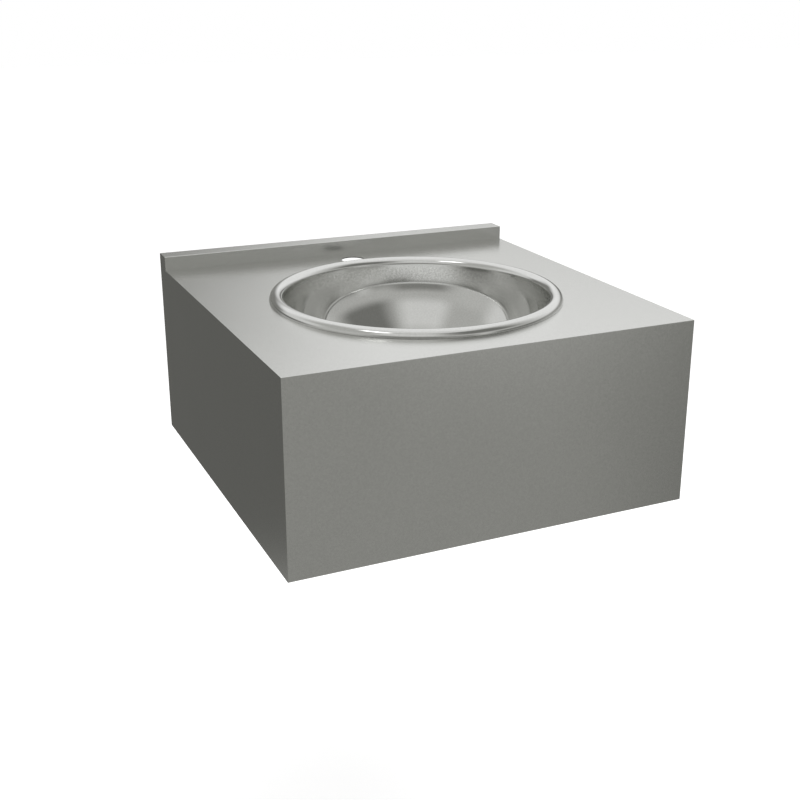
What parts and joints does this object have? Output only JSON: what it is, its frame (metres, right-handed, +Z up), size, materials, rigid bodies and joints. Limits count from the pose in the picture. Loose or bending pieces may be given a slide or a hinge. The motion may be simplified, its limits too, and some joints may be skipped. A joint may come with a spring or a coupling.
{
  "type": "wall-hung washbasin",
  "caption": "Square steel wall-hung washbasin with a deep apron, round inset bowl with a rolled bead, splash edge, tap hole, hidden wall brackets and a bottle trap with an unscrewing cup.",
  "frame": {"origin": "centre of the wall bolt pattern, on the wall plane", "axes": "+X to the right seen from the front, +Y into the wall, +Z up"},
  "size_m": [0.55, 0.59, 0.3771],
  "materials": {
    "satin_steel": "fine satin",
    "polished_steel": "polished",
    "zinc_steel": "zinc plated",
    "chromed_brass": "bright chrome",
    "seal_rubber": "matt",
    "pad_rubber": "matt",
    "earth_brass": "plain"
  },
  "bodies": {
    "basin": {"housing_shell": "satin_steel", "left_end_panel": "satin_steel", "right_end_panel": "satin_steel", "left_wall_bracket": "zinc_steel", "right_wall_bracket": "zinc_steel", "bowl": "polished_steel", "rim_seal": "seal_rubber", "bowl_clips": "zinc_steel", "clip_screws": "zinc_steel", "sound_pad": "pad_rubber", "waste_strainer": "polished_steel", "strainer_screw": "polished_steel", "upper_waste_seal": "seal_rubber", "lower_waste_seal": "seal_rubber", "waste_body": "chromed_brass", "inlet_nut": "chromed_brass", "inlet_washer": "seal_rubber", "dip_tube": "chromed_brass", "dip_tube_nut": "chromed_brass", "dip_tube_seal": "seal_rubber", "trap_head": "chromed_brass", "outlet_nut": "chromed_brass", "outlet_seal": "seal_rubber", "outlet_pipe": "chromed_brass", "wall_rosette": "chromed_brass", "earth_stud": "earth_brass", "earth_washer": "earth_brass", "earth_nut": "earth_brass"},
    "cup": {"trap_cup": "chromed_brass", "cup_seal": "seal_rubber"},
    "cup_ring": {"cup_nut": "chromed_brass"}
  },
  "joints": [
    {"name": "cup_drop", "type": "slide", "parent": "basin", "child": "cup", "axis": [0, 0, -1], "range_m": [0, 0.012]},
    {"name": "cup_nut_turn", "type": "hinge", "parent": "cup", "child": "cup_ring", "pos_m": [0, -0.303, -0.182], "axis": [0, 0, -1], "range_deg": [0, 1080]}
  ],
  "couplings": [
    {"joint": "cup_drop", "follows": "cup_nut_turn", "m_per_rad": 0.0006366}
  ]
}
